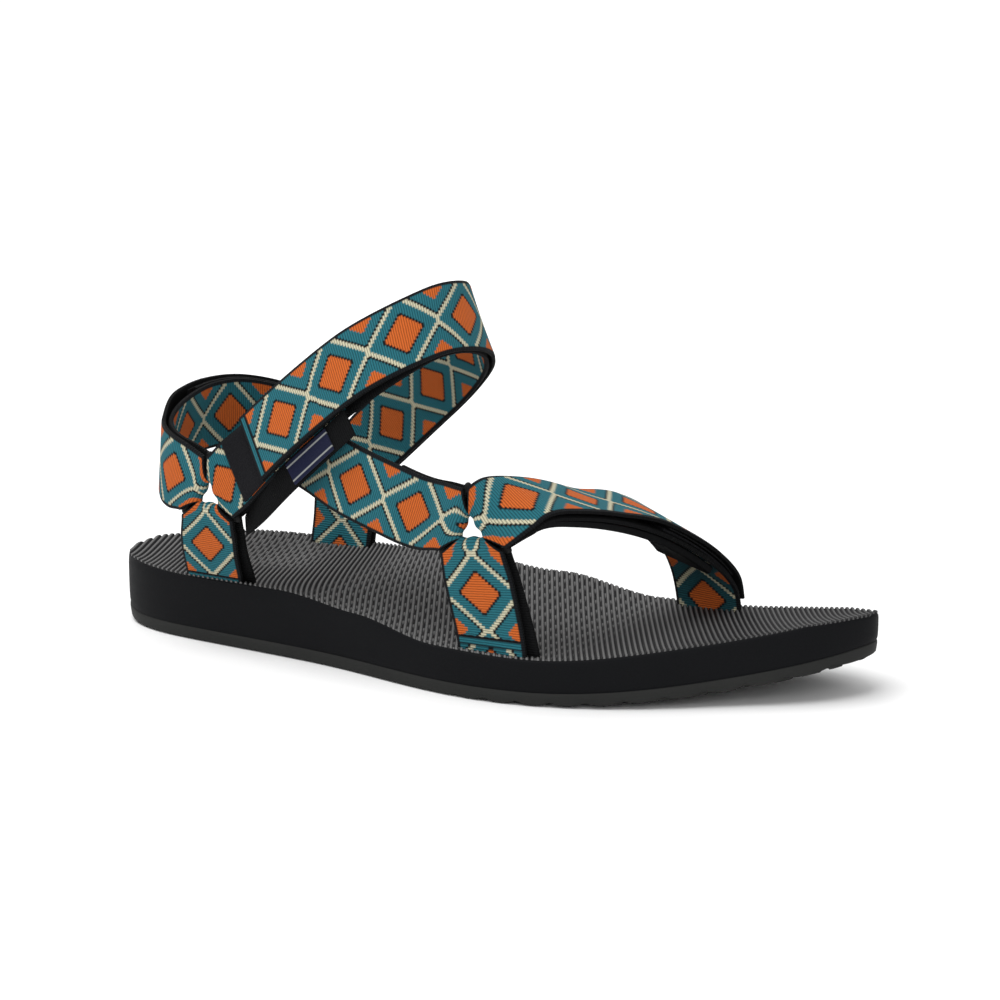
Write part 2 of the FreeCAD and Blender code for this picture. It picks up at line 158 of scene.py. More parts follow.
# %% The two shared groups
def make_cloth_ribs():
    group, into, out = new_group(
        "Cloth ribs",
        [("Rib pitch", "NodeSocketFloat", 0.8), ("Thread pitch", "NodeSocketFloat", 0.42),
         ("Unevenness", "NodeSocketFloat", 0.25)],
        [("Height", "NodeSocketFloat"), ("Painted shade", "NodeSocketFloat")])
    place = put(group, "ShaderNodeUVMap", uv_map="cloth").outputs[0]
    wobble = put(group, "ShaderNodeTexNoise", [("Vector", place), ("Scale", 0.35), ("Detail", 2.0)]).outputs[0]
    parts = put(group, "ShaderNodeSeparateXYZ", [("Vector", place)])
    across, along = parts.outputs[0], parts.outputs[1]
    shift = calculate(group, "MULTIPLY", calculate(group, "SUBTRACT", wobble, 0.5), into.outputs["Unevenness"])
    rib_at = calculate(group, "DIVIDE", calculate(group, "ADD", along, shift), into.outputs["Rib pitch"])
    rib = calculate(group, "ABSOLUTE", calculate(group, "SINE", calculate(group, "MULTIPLY", rib_at, math.pi)))
    row = calculate(group, "MULTIPLY", calculate(group, "FLOOR", rib_at), 0.5)
    thread_at = calculate(group, "ADD", calculate(group, "DIVIDE", across, into.outputs["Thread pitch"]), row)
    thread = calculate(group, "ABSOLUTE", calculate(group, "SINE", calculate(group, "MULTIPLY", thread_at, math.pi)))
    height = calculate(group, "ADD", calculate(group, "MULTIPLY", rib, 0.72),
                       calculate(group, "MULTIPLY", thread, 0.28))
    group.links.new(height, out.inputs["Height"])
    # The second output is painted shade: lowest between the ribs and threads, where the cloth's colour gets darker.
    group.links.new(calculate(group, "POWER", height, 0.7), out.inputs["Painted shade"])
    return group


def make_moulded_grain():
    group, into, out = new_group(
        "Moulded grain",
        [("Grain size", "NodeSocketFloat", 0.5), ("Patch size", "NodeSocketFloat", 30.0)],
        [("Height", "NodeSocketFloat"), ("Patches", "NodeSocketFloat"), ("Scuffs", "NodeSocketFloat")])
    place = put(group, "ShaderNodeTexCoord").outputs["Object"]
    per_metre = calculate(group, "DIVIDE", 1000.0, into.outputs["Grain size"])
    grain = put(group, "ShaderNodeTexNoise", [("Vector", place), ("Scale", per_metre), ("Detail", 3.0)]).outputs[0]
    broad = calculate(group, "DIVIDE", 1000.0, into.outputs["Patch size"])
    patches = put(group, "ShaderNodeTexNoise", [("Vector", place), ("Scale", broad), ("Detail", 4.0)]).outputs[0]
    stretched = put(group, "ShaderNodeMapping", [("Vector", place), ("Scale", (0.25, 0.6, 1.6))]).outputs[0]
    scuffs = put(group, "ShaderNodeTexNoise", [("Vector", stretched), ("Scale", 260.0), ("Detail", 5.0),
                                               ("Roughness", 0.7)]).outputs[0]
    group.links.new(grain, out.inputs["Height"])
    group.links.new(patches, out.inputs["Patches"])
    group.links.new(scuffs, out.inputs["Scuffs"])
    return group


cloth_ribs = make_cloth_ribs()
moulded_grain = make_moulded_grain()
print("shared groups:", cloth_ribs.name, "and", moulded_grain.name)

# %% [markdown]
# Each material keeps its own Principled shader and puts the group's masks to use.
# Woven cloth is rough, with a little sheen where fibres catch the light at the edge.

# %% Material helpers
def new_material(name, roughness, sheen=0.0, specular=0.5):
    material = bpy.data.materials.new(name)
    material.use_nodes = True
    tree = material.node_tree
    shader = tree.nodes["Principled BSDF"]
    shader.inputs["Roughness"].default_value = roughness
    shader.inputs["Sheen Weight"].default_value = sheen
    shader.inputs["Sheen Roughness"].default_value = 0.5
    shader.inputs["Specular IOR Level"].default_value = specular
    return material, tree, shader


def plug_height(tree, shader, height, distance_mm, strength=1.0):
    bump = put(tree, "ShaderNodeBump", [("Height", height), ("Distance", distance_mm * MM), ("Strength", strength)])
    tree.links.new(bump.outputs[0], shader.inputs["Normal"])


def add_group(tree, group, **values):
    node = put(tree, "ShaderNodeGroup", node_tree=group)
    for key, value in values.items():
        node.inputs[key.replace("_", " ")].default_value = value
    return node


def cloth_material(name, colour=None, rib_pitch=0.8, sheen=0.03, depth_mm=0.2, rib_shade_value=0.12):
    """Ribbed webbing: one colour, or the pattern stored on the piece's vertices, with painted shade between the ribs.
    """
    material, tree, shader = new_material(name, 0.85, sheen, 0.07)
    ribs = add_group(tree, cloth_ribs, Rib_pitch=rib_pitch)
    if colour is None:
        base = put(tree, "ShaderNodeAttribute", attribute_name="yarn").outputs["Color"]
    else:
        base = colour
    place = put(tree, "ShaderNodeUVMap", uv_map="cloth").outputs[0]
    fade = put(tree, "ShaderNodeTexNoise", [("Vector", place), ("Scale", 0.9), ("Detail", 4.0)]).outputs[0]
    worn = mix_colour(tree, calculate(tree, "MULTIPLY", fade, 0.05), base, (0.12, 0.13, 0.13, 1))
    # Painted shade: the colour is multiplied darker and mixed in between the ribs and threads.
    painted_rib_shade = mix_colour(tree, 1.0, worn, (rib_shade_value, rib_shade_value, rib_shade_value, 1), "MULTIPLY")
    shaded = mix_colour(tree, ribs.outputs["Painted shade"], painted_rib_shade, worn)
    tree.links.new(shaded, shader.inputs["Base Color"])
    plug_height(tree, shader, ribs.outputs["Height"], depth_mm)
    return material


def moulded_material(name, colour, lighter, roughness, grain_mm, bump_mm, painted_shade=False, specular=0.06):
    material, tree, shader = new_material(name, roughness, 0.0, specular)
    grain = add_group(tree, moulded_grain, Grain_size=grain_mm)
    patchy = mix_colour(tree, grain.outputs["Patches"], colour, lighter)
    scuff_share = calculate(tree, "MULTIPLY", calculate(tree, "POWER", grain.outputs["Scuffs"], 4.0), 1.6)
    scuffed_and_shaded = mix_colour(tree, scuff_share, patchy, lighter)
    if painted_shade:
        # Painted shade: where the stored shade is high, the colour is mixed towards near black.
        depth = put(tree, "ShaderNodeAttribute", attribute_name="painted_shade").outputs["Fac"]
        scuffed_and_shaded = mix_colour(tree, depth, scuffed_and_shaded, (0.012, 0.012, 0.013, 1))
    tree.links.new(scuffed_and_shaded, shader.inputs["Base Color"])
    rough = put(tree, "ShaderNodeMapRange", [("Value", grain.outputs["Scuffs"]), ("To Min", roughness - 0.08),
                                             ("To Max", min(roughness + 0.1, 1.0))]).outputs[0]
    tree.links.new(rough, shader.inputs["Roughness"])
    plug_height(tree, shader, grain.outputs["Height"], bump_mm)
    return material


# %% The materials
webbing_face = cloth_material("patterned webbing face")
webbing_back = cloth_material("black webbing back", (0.0045, 0.0045, 0.005, 1), 0.8, 0.0, 0.16, 0.25)
lining_cloth = cloth_material("smooth grey lining", (0.005, 0.005, 0.0055, 1), 0.35, 0.0, 0.03, 0.8)
hook_tape_face = cloth_material("hook tape", (0.01, 0.01, 0.011, 1), 1.2, 0.0, 0.3, 0.3)
label_cloth = cloth_material("woven label", None, 0.3, 0.1, 0.04, 0.75)
thread_dark = moulded_material("black thread",
                               (0.005, 0.005, 0.007, 1), (0.014, 0.014, 0.017, 1), 0.8, 0.3, 0.02)
midsole_foam = moulded_material("midsole foam",
                                (0.0042, 0.0044, 0.0052, 1), (0.0066, 0.0069, 0.0078, 1), 0.6, 0.35, 0.05)
outsole_rubber = moulded_material("outsole rubber",
                                  (0.017, 0.0175, 0.017, 1), (0.03, 0.0305, 0.0295, 1), 0.55, 0.3, 0.05)
footbed_foam = moulded_material("footbed foam",
                                (0.125, 0.124, 0.124, 1), (0.16, 0.158, 0.157, 1), 0.7, 0.4, 0.06, True)
ring_coating = moulded_material("ring coating", (0.006, 0.006, 0.006, 1), (0.02, 0.02, 0.02, 1), 0.35, 0.6, 0.02)


def make_loop_pile():
    """Loop tape is a felt of tiny loops, so it is noise with no direction in it."""
    material, tree, shader = new_material("loop pile", 0.95, 0.02, 0.06)
    place = put(tree, "ShaderNodeUVMap", uv_map="cloth").outputs[0]
    loops = put(tree, "ShaderNodeTexVoronoi", [("Vector", place), ("Scale", 3.2)], feature="F1").outputs["Distance"]
    tufts = put(tree, "ShaderNodeTexNoise", [("Vector", place), ("Scale", 1.6), ("Detail", 6.0)]).outputs[0]
    height = calculate(tree, "ADD", calculate(tree, "MULTIPLY", tufts, 0.7), calculate(tree, "MULTIPLY", loops, 0.5))
    # Painted shade: the pile is darker where its height is low and lighter on the tufts.
    colour = mix_colour(tree, height, (0.003, 0.003, 0.004, 1), (0.014, 0.014, 0.016, 1))
    tree.links.new(colour, shader.inputs["Base Color"])
    plug_height(tree, shader, height, 0.35)
    return material


loop_pile = make_loop_pile()
print("materials:", len(bpy.data.materials))

# %% [markdown]
# ## The sole
# The sole is drawn from one outline, a closed smooth curve through listed points,
# and a table of heights along its two edges. The midsole, outsole and footbed all read
# these, so they meet with no gaps.

# %% Outline and heights
SOLE_LENGTH, SOLE_WIDTH = 268.0, 92.0
OUTSOLE_T, FOOTBED_T, TOE_SPRING, HEEL_BEVEL = 4.2, 2.4, 12.5, 2.5
OUTLINE = np.array([
    (-134, 7), (-132.5, -7), (-124.5, -16.5), (-110.5, -23.5), (-91, -27.2),
    (-61, -30.5), (-28, -35.3), (2, -42.6), (30, -46), (56, -41.5), (79.5, -30.5),
    (101.5, -15.5), (120.5, -1.5), (131.5, 12.5), (134, 25), (126.5, 34), (104, 40.5),
    (77, 44.5), (52, 46), (23, 43.5), (-6, 39.2), (-33, 36.6), (-65, 37.4),
    (-93, 38), (-112.5, 33.8), (-126.5, 23.7), (-132.3, 15.5)], float)
HEIGHTS = np.array([
    (0.00, 24.0, 25.0), (0.15, 22.8, 25.4), (0.30, 23.2, 25.8), (0.42, 20.4, 26.0),
    (0.55, 16.0, 22.2), (0.68, 15.2, 16.2), (0.84, 16.5, 15.4), (1.00, 16.6, 13.8)])


def closed_curve(points, per_span):
    """Smooth closed line through the points."""
    n = len(points)
    spans = np.linalg.norm(np.roll(points, -1, 0) - points, axis=1)
    system, right = np.zeros((n, n)), np.zeros((n, 2))
    for i in range(n):
        a, b = spans[i - 1], spans[i]
        system[i, i - 1], system[i, i], system[i, (i + 1) % n] = 1 / a, 2 * (1 / a + 1 / b), 1 / b
        right[i] = 3 * ((points[i] - points[i - 1]) / a ** 2 + (points[(i + 1) % n] - points[i]) / b ** 2)
    slopes = np.linalg.solve(system, right)
    out = []
    for i in range(n):
        j = (i + 1) % n
        for t in np.arange(per_span) / per_span:
            out.append(points[i] * (2 * t ** 3 - 3 * t ** 2 + 1) + slopes[i] * spans[i] * (t ** 3 - 2 * t ** 2 + t)
                       + points[j] * (3 * t ** 2 - 2 * t ** 3) + slopes[j] * spans[i] * (t ** 3 - t ** 2))
    return np.array(out)


def fit_outline():
    line = closed_curve(OUTLINE, 24)
    low, high = line.min(0), line.max(0)
    return (line - (low + high) / 2) * (SOLE_LENGTH, SOLE_WIDTH) / (high - low)


RIM = fit_outline()                       # runs heel, lateral side, toe, medial side
heel_at, toe_at = RIM[:, 0].argmin(), RIM[:, 0].argmax()
lateral = np.roll(RIM, -heel_at, 0)[:(toe_at - heel_at) % len(RIM) + 1]
medial = np.roll(RIM, -toe_at, 0)[:(heel_at - toe_at) % len(RIM) + 1][::-1]


def edge_y(x, line):
    return np.interp(x, line[:, 0], line[:, 1])


def table_at(share, column):
    i = np.clip(np.searchsorted(HEIGHTS[:, 0], share) - 1, 0, len(HEIGHTS) - 2)
    t = smooth((share - HEIGHTS[i, 0]) / (HEIGHTS[i + 1, 0] - HEIGHTS[i, 0]))
    return HEIGHTS[i, column] * (1 - t) + HEIGHTS[i + 1, column] * t


def underside(x):
    s = (x + SOLE_LENGTH / 2) / SOLE_LENGTH
    return (TOE_SPRING * (np.maximum(s - 0.66, 0) / 0.34) ** 2 + HEEL_BEVEL * (np.maximum(0.06 - s, 0) / 0.06) ** 2)


def footbed_top(x, y):
    s = np.clip((x + SOLE_LENGTH / 2) / SOLE_LENGTH, 0, 1)
    inside = np.clip(x, -SOLE_LENGTH / 2 + 12, SOLE_LENGTH / 2 - 14)
    low, high = edge_y(inside, lateral), edge_y(inside, medial)
    v = np.clip((y - low) / (high - low), 0, 1)
    dish = 2.2 * (1 - (2 * v - 1) ** 4) * (1 - 0.55 * smooth((s - 0.45) / 0.3))
    side_l, side_m = table_at(s, 1), table_at(s, 2)
    return underside(x) + side_l + (side_m - side_l) * smooth(v) - dish


def inset_rim(by):
    run = np.roll(RIM, -1, 0) - np.roll(RIM, 1, 0)
    inward = unit(np.stack([-run[:, 1], run[:, 0]], 1))
    return RIM + inward * by


print("rim points:", len(RIM), "size:", (RIM.max(0) - RIM.min(0)).round(1))

# %% [markdown]
# The midsole is one moulded block of foam. Its side wall goes straight up from the
# outsole, with a soft rounded corner at the top. It starts as a flat disc with one
# vertex for each rim point. The rim is extruded once for each line of the wall's
# profile, and each new line is set to its inset and height, because the heights change
# all the way round, which a plain move can't do.

# %% Walls round the rim
def last_line(piece, count):
    """Selects the newest ring of vertices for the next extrude."""
    bpy.ops.object.mode_set(mode="OBJECT")
    total = len(piece.data.vertices)
    for v in piece.data.vertices:
        v.select = v.index >= total - count
    bpy.ops.object.mode_set(mode="EDIT")


def walled_block(name, lines):
    """A closed block from rings of points, bottom ring first."""
    deselect()
    count = len(lines[0])
    bpy.ops.mesh.primitive_circle_add(vertices=count, radius=0.1, fill_type="NGON")
    piece = named(name)
    bpy.ops.object.mode_set(mode="EDIT")
    bpy.ops.mesh.select_mode(type="VERT")
    for _ in lines[1:]:
        last_line(piece, count)
        bpy.ops.mesh.extrude_edges_move()
    last_line(piece, count)
    bpy.ops.mesh.edge_face_add()
    bpy.ops.object.mode_set(mode="OBJECT")
    place_vertices(piece, np.concatenate(lines) * MM)
    bpy.ops.object.mode_set(mode="EDIT")
    bpy.ops.mesh.select_all(action="SELECT")
    bpy.ops.mesh.normals_make_consistent(inside=False)
    bpy.ops.object.mode_set(mode="OBJECT")
    bpy.ops.object.shade_smooth_by_angle(angle=math.radians(38))
    return piece


def ring_of(inset, height):
    flat = inset_rim(inset)
    return np.column_stack([flat, height(flat[:, 0], flat[:, 1])])


def wall_height(x, y, share):
    """Height at a share of the way from the parting line to the wall's top."""
    bottom = underside(x) + OUTSOLE_T + 0.1
    top = footbed_top(x, y) - 0.5
    return bottom + (top - bottom) * share


# %% A sheet cut to the sole's outline
def sheet_in_outline(name, row_values, line_x, columns, inset):
    """A grid whose rows follow given lines across the sole and stop at its rim.

    line_x(row value, y) gives x along a row. Returns the piece and its (x, y).
    """
    trial = np.linspace(-SOLE_WIDTH / 2 - 1, SOLE_WIDTH / 2 + 1, 1200)
    rows = []
    for value in row_values:
        x = line_x(value, trial)
        keep = ((trial > edge_y(x, lateral) + inset) & (trial < edge_y(x, medial) - inset)
                & (np.abs(x) < SOLE_LENGTH / 2 - inset))
        if keep.sum() < 6:
            continue
        ys = np.linspace(trial[keep][0], trial[keep][-1], columns + 1)
        rows.append(np.column_stack([line_x(value, ys), ys]))
    deselect()
    bpy.ops.mesh.primitive_grid_add(x_subdivisions=columns, y_subdivisions=len(rows) - 1, size=0.1)
    return named(name), np.concatenate(rows)


def drop_edge(piece, depth_mm):
    """Extrudes the open edge of a sheet straight down, as a skirt."""
    deselect()
    piece.select_set(True)
    bpy.context.view_layer.objects.active = piece
    bpy.ops.object.mode_set(mode="EDIT")
    bpy.ops.mesh.select_mode(type="EDGE")
    bpy.ops.mesh.select_all(action="DESELECT")
    bpy.ops.mesh.select_non_manifold()
    bpy.ops.mesh.extrude_region_move(TRANSFORM_OT_translate={"value": (0, 0, -depth_mm * MM)})
    bpy.ops.object.mode_set(mode="OBJECT")


# %% Midsole
wall_lines = [ring_of(6, lambda x, y: underside(x) + OUTSOLE_T - 0.4),
              ring_of(0.9, lambda x, y: underside(x) + OUTSOLE_T - 0.2)]
for share, inset in ((0, 0.5), (0.06, 0.22), (0.14, 0.1), (0.3, 0.02), (0.55, 0), (0.8, 0.03), (0.9, 0.12)):
    wall_lines.append(ring_of(inset, lambda x, y, s=share: wall_height(x, y, s)))
for drop, inset in ((0.55, 0.3), (0.22, 0.6), (0.05, 1.0), (0, 1.5)):
    wall_lines.append(ring_of(inset, lambda x, y, d=drop: wall_height(x, y, 1) - d))
wall_lines.append(ring_of(3.0, lambda x, y: footbed_top(x, y) - FOOTBED_T - 0.3))
wall_lines.append(ring_of(3.5, lambda x, y: underside(x) + 6.0))
midsole = walled_block("midsole_block", wall_lines)
bed, flat = sheet_in_outline("midsole_bed", np.arange(-131, 131.1, 3.0), lambda r, y: r + 0 * y, 36, 2.6)
place_vertices(bed, np.column_stack([flat, footbed_top(flat[:, 0], flat[:, 1]) - FOOTBED_T]) * MM)
deselect()
bed.select_set(True)
midsole.select_set(True)
bpy.context.view_layer.objects.active = midsole
bpy.ops.object.join()
midsole.data.materials.append(midsole_foam)
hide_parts("midsole")
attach(midsole, "sandal")
print("midsole faces:", len(midsole.data.polygons))

# %% [markdown]
# The outsole is thin rubber, a little lighter than the foam. Its top edge rolls over
# under the midsole. Shallow scallops are cut into its lower edge from the ball of the
# foot to the toe. Underneath there are low lugs, set in slanting rows, so that part is a
# fine grid whose heights follow the lugs.

# %% Outsole
SCALLOP_PITCH, SCALLOP_DEPTH = 10.5, 1.3
LUG_LONG, LUG_WIDE, LUG_DEPTH = 9.0, 14.0, 1.5


def scallop(x):
    """How far the lower edge is cut up, in the forefoot only."""
    wave = np.abs(np.sin(np.pi * x / SCALLOP_PITCH)) ** 0.6
    return (1 - wave) * SCALLOP_DEPTH * smooth((x - 5) / 30)


def lug_height(x, y):
    """How far the grooves between the lugs are cut up."""
    slant = x + 0.35 * y
    rows_gap = np.abs((slant / LUG_LONG + 0.5) % 1 - 0.5) * LUG_LONG
    files_gap = np.abs(((y - 0.3 * x) / LUG_WIDE + 0.5) % 1 - 0.5) * LUG_WIDE
    painted_shade = np.minimum(rows_gap, files_gap)
    return LUG_DEPTH * (1 - smooth((painted_shade - 0.7) / 0.7))


sole_lines = [ring_of(2.2, lambda x, y: underside(x) + scallop(x) + 0.15),
              ring_of(1.1, lambda x, y: underside(x) + scallop(x) + 0.05),
              ring_of(0.55, lambda x, y: underside(x) + scallop(x) + 0.45),
              ring_of(0.35, lambda x, y: underside(x) + 1.8),
              ring_of(0.2, lambda x, y: underside(x) + 3.1),
              ring_of(0.25, lambda x, y: underside(x) + 3.9),
              ring_of(0.6, lambda x, y: underside(x) + OUTSOLE_T + 0.1),
              ring_of(2.5, lambda x, y: underside(x) + OUTSOLE_T)]
outsole = walled_block("outsole_wall", sole_lines)
outsole.data.materials.append(outsole_rubber)
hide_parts("outsole")
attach(outsole, "sandal")

lug_rows = np.arange(-133, 133.01, 0.7)
lugs, flat = sheet_in_outline("outsole_lugs", lug_rows, lambda r, y: r + 0 * y, 130, 1.6)
heights = underside(flat[:, 0]) + lug_height(flat[:, 0], flat[:, 1])
place_vertices(lugs, np.column_stack([flat, heights]) * MM)
lugs.data.flip_normals()
drop_edge(lugs, -1.8)
lugs.data.materials.append(outsole_rubber)
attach(lugs, "sandal")
print("outsole and lugs:", len(outsole.data.polygons), len(lugs.data.polygons))

# %% [markdown]
# The footbed has fine ribs that cross the foot at a slant and curl towards the heel at
# its outer edge. From the arch to the ball of the foot their grooves are broken into
# dashes. The ribs are real shape: the grid's rows run along them, five to a rib, so a
# narrow groove takes few faces. Each vertex also stores a painted shade, darkest in the
# grooves, a little less on the rib shoulders and growing towards the toe, and the
# material mixes it in as near black.

# %% Footbed
def rib_x(value, y):
    """x along a rib line: slanted, steeper behind the arch, curled at the outer edge."""
    x = value - 0.5 * y
    for _ in range(4):
        fore = smooth((x + 70) / 60)
        lean = 0.34 + 0.2 * fore
        curl = (1 - fore) * 0.0075 * np.minimum(y + 8, 0) ** 2
        x = value - lean * y + curl
    return x


STEPS = 5
FOOTBED_COLUMNS, FOOTBED_INSET = 84, 0.8
GROOVE_DEPTH, SHOULDER_DROP = 0.85, 0.2
pitches = 1.92 - 0.27 * smooth((np.linspace(-165, 160, 190) - 40) / 80)
rib_starts = -165 + np.concatenate([[0], np.cumsum(pitches)])
rib_rows = np.concatenate([a + (b - a) * np.arange(STEPS) / STEPS for a, b in zip(rib_starts, rib_starts[1:])])
footbed, flat = sheet_in_outline("footbed_sheet", rib_rows, rib_x, FOOTBED_COLUMNS, FOOTBED_INSET)
columns = FOOTBED_COLUMNS + 1
x, y = flat[:, 0].copy(), flat[:, 1].copy()
first = next(i for i, v in enumerate(rib_rows) if abs(rib_x(v, y[0]) - x[0]) < 1e-6)
row_number = np.repeat(np.arange(len(flat) // columns) + first, columns)
in_groove = (row_number % STEPS == 0).astype(float)
shoulder = ((row_number % STEPS == 1) | (row_number % STEPS == STEPS - 1)).astype(float)
rib_number = row_number // STEPS

along_rib = (y / 7.6 + 0.5 * (rib_number % 2)) % 1
dash = smooth((0.36 - np.abs(along_rib - 0.5)) / 0.07)
dashed_zone = smooth((x + 52) / 14) * smooth((62 - x) / 20)
heel_zone = smooth((x + 112) / 12) * smooth((-60 - x) / 14) * smooth((y + 4) / 8)
zone = np.maximum(dashed_zone, heel_zone)
depth = in_groove * (1 - zone * (1 - dash))
rise = -GROOVE_DEPTH * depth - SHOULDER_DROP * shoulder
place_vertices(footbed, np.column_stack([x, y, footbed_top(x, y) + rise]) * MM)
# Painted shade: near black in the grooves, less on the rib shoulders, and more towards the toe.
shade = 0.98 * depth + (0.96 - 0.25 * zone * (1 - dash)) * shoulder + 0.45 * smooth((x - 60) / 40)
store(footbed, "painted_shade", "FLOAT", np.clip(shade, 0, 0.98))
drop_edge(footbed, 1.9)
bpy.ops.object.shade_smooth()
footbed.data.materials.append(footbed_foam)
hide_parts("footbed")
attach(footbed, "sandal")
print("footbed ribs:", int(rib_number.max() - rib_number.min()), "faces:", len(footbed.data.polygons))

# %% [markdown]
# ## The straps
# A strap is flat webbing that is cut to length and laid along a route. Its tilt changes
# at each point, which the transform operators can't hold closely enough, so a flat
# grid is added, one vertex for each thread crossing, and its rows are set on the route.
# Its UV map keeps the flat size in millimetres, so that weave and pattern bend with it.

# %% Routes
def route(stations, step=0.5):
    """Dense frames along a strap's path, from (point, direction across the webbing)."""
    points = np.array([p for p, _ in stations], float)
    across = np.array([w for _, w in stations], float)
    knots = np.concatenate([[0], np.cumsum(np.linalg.norm(np.diff(points, axis=0), axis=1))])
    last = len(points) - 1

    def slope(values, i):
        a, b = max(i - 1, 0), min(i + 1, last)
        return (values[b] - values[a]) / (knots[b] - knots[a])

    dense_p, dense_w = [], []
    for i in range(last):
        span = knots[i + 1] - knots[i]
        count = max(2, int(round(span / step)))
        t = (np.arange(count + (i == last - 1)) / count)[:, None]
        for values, out in ((points, dense_p), (across, dense_w)):
            m0, m1 = slope(values, i) * span, slope(values, i + 1) * span
            out.append(values[i] * (2 * t ** 3 - 3 * t ** 2 + 1) + m0 * (t ** 3 - 2 * t ** 2 + t)
                       + values[i + 1] * (3 * t ** 2 - 2 * t ** 3) + m1 * (t ** 3 - t ** 2))
    p, side = np.concatenate(dense_p), unit(np.concatenate(dense_w))
    tangent = np.gradient(p, axis=0)
    outward = unit(np.cross(side, tangent))
    s = np.concatenate([[0], np.cumsum(np.linalg.norm(np.diff(p, axis=0), axis=1))])
    return {"s": s, "p": p, "side": side, "out": outward, "along": np.cross(outward, side), "end": s[-1]}


def at(path, s, key):
    return np.stack([np.interp(s, path["s"], path[key][:, k]) for k in range(3)], -1)


def ring_corners(centre, lean, slope, side_length=23.5):
    out = []
    for degrees in (90 + lean, 210 + lean, 330 + lean):
        a = math.radians(degrees)
        dx, dz = (side_length / math.sqrt(3) * f(a) for f in (math.cos, math.sin))
        out.append(np.array(centre) + (dx, slope * dx, dz))
    return out


REAR = ring_corners((-78.5, -33, 52.3), 0, -0.12)
MEDIAL = ring_corners((-71, 39, 52.3), 0, -0.04)
FRONT = ring_corners((26.5, -43, 53.5), 7, 0.0)


def bar(a, b, back=False):
    """A station on the bar from a to b, with the webbing's width along the bar."""
    return ((a + b) / 2, unit(a - b) if back else unit(b - a))


ANKLE = route([
    bar(REAR[0], REAR[2]),
    ((-59.5, -33, 67), (0.57, -0.3, -0.76)), ((-43.5, -32.2, 81), (0.56, -0.36, -0.75)),
    ((-24.5, -29.5, 96.5), (0.52, -0.38, -0.77)), ((-11, -22.5, 106.8), (0.46, -0.38, -0.8)),
    ((-4, -12, 112), (0.38, -0.35, -0.85)), ((-1.8, 1, 112), (0.38, -0.28, -0.87)),
    ((-5, 13, 108), (0.46, -0.12, -0.87)), ((-12.8, 22.5, 100.2), (0.55, 0.05, -0.83)),
    ((-25.5, 30, 89), (0.6, 0.08, -0.79)), ((-41.5, 35, 76), (0.6, 0.05, -0.8)),
    bar(MEDIAL[0], MEDIAL[2])])
HEEL = route([
    bar(REAR[0], REAR[1], True),
    ((-95.5, -28.7, 58.5), (0.2, 0, 0.98)), ((-103.5, -21.5, 61.3), (0.06, 0.03, 0.99)),
    ((-108.8, -11, 64.8), (0.13, 0, 0.98)), ((-111.3, 2, 67.8), (0.17, 0, 0.98)),
    ((-110.2, 14.5, 69.6), (0.14, -0.08, 0.98)), ((-105, 26.5, 69.5), (0.1, -0.12, 0.98)),
    ((-95, 35.3, 65.8), (0.15, -0.06, 0.98)),
    bar(MEDIAL[0], MEDIAL[1], True)])
TOE = route([
    bar(FRONT[0], FRONT[2]),
    ((36.2, -40.9, 60.5), (0.77, -0.1, -0.58)), ((40.8, -35, 61.8), (0.85, -0.35, -0.35)),
    ((46.2, -24, 60.2), (0.88, -0.36, -0.27)), ((51.5, -9, 56), (0.92, -0.32, -0.2)),
    ((57.2, 6, 51.1), (0.92, -0.25, -0.27)), ((62.3, 18.5, 44.5), (0.92, -0.2, -0.3)),
    ((66, 29.6, 35.7), (0.95, -0.11, -0.24)), ((68.4, 36.4, 26.7), (0.99, -0.04, -0.14)),
    ((69.3, 39, 17), (1, -0.1, 0)), ((69.5, 39.2, 8), (1, -0.1, 0))])
SIDE = route([
    ((-58, -25.8, 73.3), (-0.3, 0, -0.95)), ((-48, -27.9, 70.6), (-0.3, 0, -0.95)),
    ((-38, -31.3, 68), (-0.3, 0, -0.95)), ((-25, -36, 64), (-0.3, 0, -0.95)),
    ((-8, -39.4, 59.6), (-0.3, 0, -0.95)), ((6.5, -41.2, 56.2), (-0.33, 0, -0.94)),
    bar(FRONT[0], FRONT[1])])
LABEL = route([
    ((-64.5, -33.0, 43.5), (0.5, -0.68, -0.53)), ((-56, -37.2, 50.8), (0.62, -0.3, -0.72)),
    ((-45.5, -39.2, 60.5), (0.6, -0.16, -0.78)), ((-34.5, -39.2, 70.2), (0.58, -0.18, -0.78)),
    ((-24, -39.7, 79), (0.56, -0.2, -0.79)), ((-20.2, -39.4, 82.4), (0.56, -0.2, -0.79))])
REAR_TAB = route([
    bar(REAR[1], REAR[2], True),
    ((-81, -29, 33), (-1, 0.1, 0)), ((-82.5, -24.4, 22), (-1, 0.1, 0)), ((-82.5, -24.2, 13), (-1, 0.1, 0))])
MEDIAL_TAB = route([
    bar(MEDIAL[1], MEDIAL[2]),
    ((-70, 36, 33), (1, -0.01, 0)), ((-69.5, 33, 23), (1, 0, 0)), ((-69.5, 32.9, 14), (1, 0, 0))])
FRONT_TAB = route([
    bar(FRONT[1], FRONT[2], True),
    ((30.2, -41.9, 32), (-1, -0.03, -0.06)), ((32.8, -40.8, 17), (-1, 0, 0)), ((33, -40.7, 8.5), (-1, 0, 0))])
print("route lengths in mm:", {n: round(float(r["end"]), 1) for n, r in
                               (("ankle", ANKLE), ("heel", HEEL), ("toe", TOE), ("side", SIDE))})

# %% [markdown]
# Each piece of webbing is laid in passes. A pass goes along a route at a height above
# it, and a turn carries it round a ring bar to the other face, where it is gathered
# narrower. The passes are joined into one line, which is then divided evenly, so that
# the threads keep their spacing.

